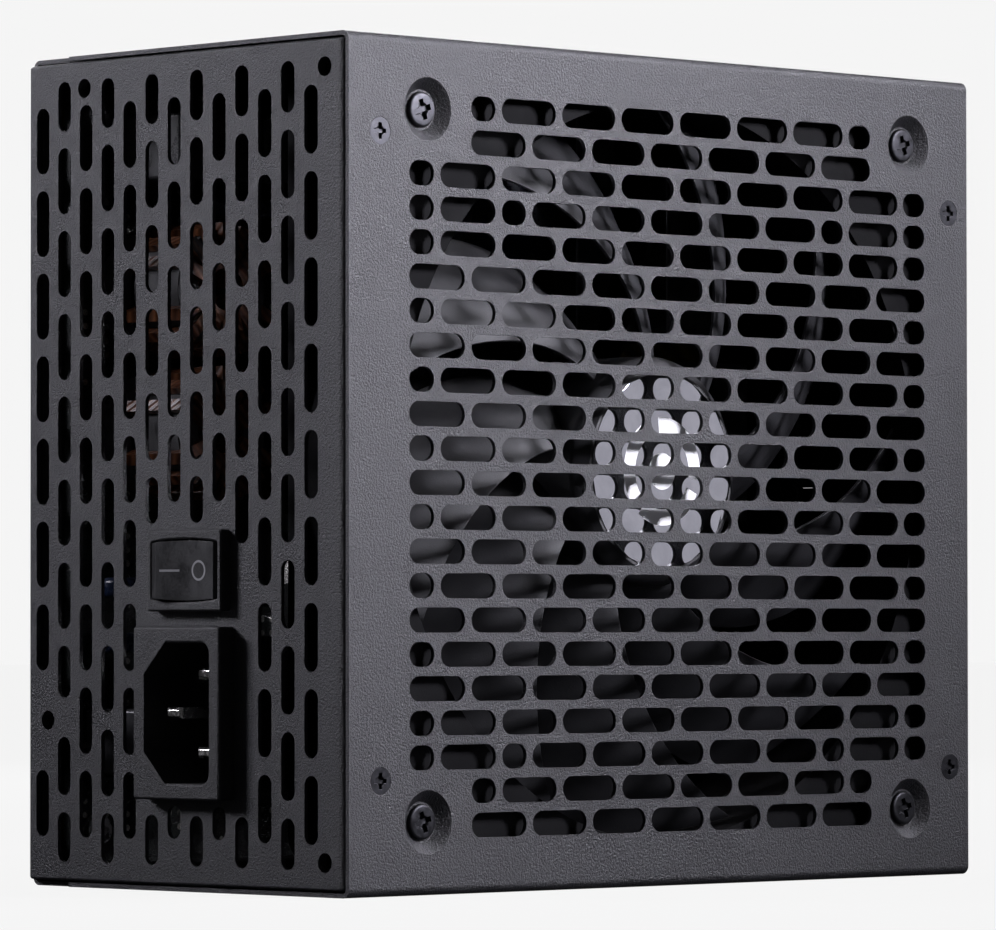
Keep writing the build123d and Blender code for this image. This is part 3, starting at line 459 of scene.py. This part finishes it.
finishes = {
    "case_paint": plainFinish("casePaint", caseLook)[0],
    "film": plainFinish("insulatingFilm", filmLook)[0],
    "brass": plainFinish("turnedBrass", brassLook)[0],
    "board": boardFinish(),
    "steel": plainFinish("platedSteel", steelLook)[0],
    "dark_steel": plainFinish("blackOxideSteel", screwLook)[0],
    "fan_plastic": plainFinish("fanPlastic", fanPlasticLook)[0],
    "copper": windingFinish("enamelledCopper", ((0.16, 0.055, 0.022), (0.22, 0.080, 0.030)), 0.9 * mm),
    "ferrite": plainFinish("ferrite", ferriteLook)[0],
    "label_foil": foilFinish(),
    "wire": plainFinish("leadSleeve", sleeveWireLook)[0],
    "pale_plastic": plainFinish("palePlastic", paleLook)[0],
    "black_plastic": plainFinish("blackPlastic", blackPlasticLook)[0],
    "nickel": plainFinish("nickelPlate", nickelLook)[0],
    "grey_plastic": plainFinish("greyPlastic", greyPlasticLook)[0],
    "blue_ceramic": plainFinish("blueCoating", blueLook)[0],
    "glass_fuse": plainFinish("fuseGlass", glassLook)[0],
    "chip_resin": plainFinish("mouldedResin", resinLook)[0],
    "aluminium": plainFinish("extrudedAluminium", aluminiumLook)[0],
    "capacitor_sleeve": plainFinish("capacitorSleeve", sleeveLook)[0],
    "tape": windingFinish("windingTape", ((0.14, 0.100, 0.020), (0.19, 0.140, 0.030)), 2.5 * mm),
    "label_paper": labelFinish(),
}
print("finishes built:", len(finishes))


# edges and shading of the carried-over parts

# widths and gaps in millimetres, angles in degrees
edgeRound = {"usual": 0.12, "rings": 3, "angle": 38, "flatAngle": 0.6, "weldGap": 0.001, "lean": 60}
edgeWidth = {"cover": 0.28, "tray": 0.28, "fan_rotor": 0.25, "fan_frame": 0.25, "inlet_housing": 0.2,
             "switch_housing": 0.15, "rocker": 0.2, "inlet_pins": 0.15, "fan_screws": 0.1,
             "cover_screws": 0.08, "heatsinks": 0.15, "transformer_core": 0.3, "standby_transformer": 0.3}
thinNodes = ("hub_label", "rating_label", "fan_lead")  # too thin or already round


def softenEdges(node, part):
    mesh = part.data
    if "custom_normal" in mesh.attributes:
        mesh.attributes.remove(mesh.attributes["custom_normal"])
    mesh.polygons.foreach_set("use_smooth", [True] * len(mesh.polygons))
    weld = part.modifiers.new("weld", "WELD")
    weld.merge_threshold = edgeRound["weldGap"] * mm
    if node not in thinNodes:
        merge = part.modifiers.new("flats", "DECIMATE")
        merge.decimate_type = "DISSOLVE"
        merge.angle_limit = radians(edgeRound["flatAngle"])
        bevel = part.modifiers.new("edges", "BEVEL")
        bevel.width = edgeWidth.get(node, edgeRound["usual"]) * mm
        bevel.segments = edgeRound["rings"]
        bevel.limit_method = "ANGLE"
        bevel.angle_limit = radians(edgeRound["angle"])
        bevel.use_clamp_overlap = True
        bevel.harden_normals = False
    lean = part.modifiers.new("shading", "WEIGHTED_NORMAL")
    lean.weight = edgeRound["lean"]
    lean.keep_sharp = False


# the rocker carries its printed marks; the fan frame takes the darker copy of the fan plastic, which is
# painted shade
ownFinishes = {"rocker": switchFinish(), "fan_frame": plainFinish("framePlasticShaded", frameShadeLook)[0]}
for node, part in parts.items():
    finish = ownFinishes.get(node, finishes[slotOf[node]])
    for slot in part.material_slots:
        slot.material = finish
    softenEdges(node, part)
print("finishes and edges placed")


# stage, light and camera

# beam: how far the light fans out, in degrees. aim: the point it looks at. size: width and height.
studio = {
    "backdrop": 0.913, "fill": 0.05, "under": 0.008, "airTint": (0.93, 0.92, 1.0),
    "floorHalf": 6.0, "floorShade": 0.02, "floorTone": 0.9, "floorBounce": 0.05, "floorDrop": 0.02 * mm,
    "lights": {
        "keyBox": {"at": (0.33, -0.57, 0.34), "aim": (-0.11, -0.043, 0.19), "size": (0.16, 0.16),
                   "power": 1.42, "beam": 55, "tint": (0.90, 0.89, 1.0)},
        "cardBox": {"at": (0.76, -0.78, 0.09), "aim": (0.0, -0.043, 0.075), "size": (0.22, 0.16),
                    "power": 0.080, "beam": 180, "tint": (0.90, 0.89, 1.0)},
        "sideBox": {"at": (-0.52, 0.56, 0.42), "aim": (-0.08, 0.02, 0.21), "size": (0.20, 0.20),
                    "power": 0.64, "beam": 52, "tint": (0.90, 0.89, 1.0)},
        "topBox": {"at": (0.62, -0.27, 0.64), "aim": (0.0, -0.043, 0.10), "size": (0.14, 0.14),
                   "power": 4.5, "beam": 180, "tint": (0.90, 0.89, 1.0)},
        "backBox": {"at": (0.50, 0.80, 0.50), "aim": (0.0, 0.0, 0.07), "size": (0.50, 0.40),
                    "power": 7.0, "beam": 180, "tint": (0.95, 0.95, 1.0)},
    },
}
# at: millimetres from the corner of mains panel, fan face and floor
cameraSet = {"at": (-764.32, -824.78, 46.19), "yaw": 44.135, "pitch": 1.452, "roll": 0.057, "lens": 235.7}


def grey(level):
    return (level, level, level, 1.0)


def byRay(tree, seen, unseen):
    # one shader for the camera, another for every other ray
    mix = tree.nodes.new("ShaderNodeMixShader")
    wire(tree, tree.nodes.new("ShaderNodeLightPath").outputs["Is Camera Ray"], mix.inputs[0])
    wire(tree, unseen, mix.inputs[1])
    wire(tree, seen, mix.inputs[2])
    return mix.outputs[0]


def makeWorld():
    world = bpy.data.worlds.new("studioAir")
    bpy.context.scene.world = world
    world.use_nodes = True
    tree = world.node_tree
    tree.nodes.clear()
    seen = tree.nodes.new("ShaderNodeBackground")
    seen.inputs[0].default_value = grey(studio["backdrop"])
    unseen = tree.nodes.new("ShaderNodeBackground")
    parted = tree.nodes.new("ShaderNodeSeparateXYZ")
    wire(tree, tree.nodes.new("ShaderNodeTexCoord").outputs["Generated"], parted.inputs[0])
    level = spread(tree, parted.outputs[2], -0.15, 0.25, studio["under"], studio["fill"])
    wire(tree, level, unseen.inputs[1])
    unseen.inputs[0].default_value = (*studio["airTint"], 1.0)
    end = tree.nodes.new("ShaderNodeOutputWorld")
    wire(tree, byRay(tree, seen.outputs[0], unseen.outputs[0]), end.inputs[0])


def makeFloor():
    half = studio["floorHalf"]
    mesh = bpy.data.meshes.new("studioFloor")
    plan = bmesh.new()
    signs = ((-1, -1), (1, -1), (1, 1), (-1, 1))
    plan.faces.new([plan.verts.new((x * half, y * half, -studio["floorDrop"])) for x, y in signs])
    plan.to_mesh(mesh)
    plan.free()
    floor = bpy.data.objects.new("studioFloor", mesh)
    bpy.context.scene.collection.objects.link(floor)
    material = bpy.data.materials.new("paleFloor")
    material.use_nodes = True
    tree = material.node_tree
    tree.nodes.clear()
    glow = tree.nodes.new("ShaderNodeEmission")
    glow.inputs[0].default_value = grey(studio["backdrop"])
    matt = tree.nodes.new("ShaderNodeBsdfDiffuse")
    matt.inputs[0].default_value = grey(studio["floorTone"])
    seen = tree.nodes.new("ShaderNodeMixShader")
    seen.inputs[0].default_value = studio["floorShade"]
    wire(tree, glow.outputs[0], seen.inputs[1])
    wire(tree, matt.outputs[0], seen.inputs[2])
    dim = tree.nodes.new("ShaderNodeBsdfDiffuse")
    dim.inputs[0].default_value = grey(studio["floorBounce"])
    end = tree.nodes.new("ShaderNodeOutputMaterial")
    wire(tree, byRay(tree, seen.outputs[0], dim.outputs[0]), end.inputs[0])
    mesh.materials.append(material)


def makeLights():
    for name, box in studio["lights"].items():
        lamp = bpy.data.lights.new(name, "AREA")
        lamp.shape = "RECTANGLE"
        lamp.size, lamp.size_y = box["size"]
        lamp.energy = box["power"]
        lamp.color = box["tint"]
        lamp.spread = radians(box["beam"])
        holder = bpy.data.objects.new(name, lamp)
        holder.location = box["at"]
        holder.rotation_euler = (Vector(box["aim"]) - Vector(box["at"])).to_track_quat("-Z", "Y").to_euler()
        bpy.context.scene.collection.objects.link(holder)


def makeCamera():
    corner = Vector((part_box("tray")[0][0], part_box("cover")[0][1], 0.0))
    lens = bpy.data.cameras.new("studioCamera")
    lens.lens = cameraSet["lens"]
    lens.sensor_width = 36.0
    lens.clip_end = 50.0
    camera = bpy.data.objects.new("studioCamera", lens)
    camera.location = corner + Vector(cameraSet["at"]) * mm
    camera.rotation_euler = Euler((radians(90 + cameraSet["pitch"]), radians(cameraSet["roll"]),
                                   radians(-cameraSet["yaw"])))
    bpy.context.scene.collection.objects.link(camera)
    bpy.context.scene.camera = camera


makeWorld()
makeFloor()
makeLights()
makeCamera()
bpy.context.scene.view_settings.view_transform = "Standard"
print("stage, light and camera set")
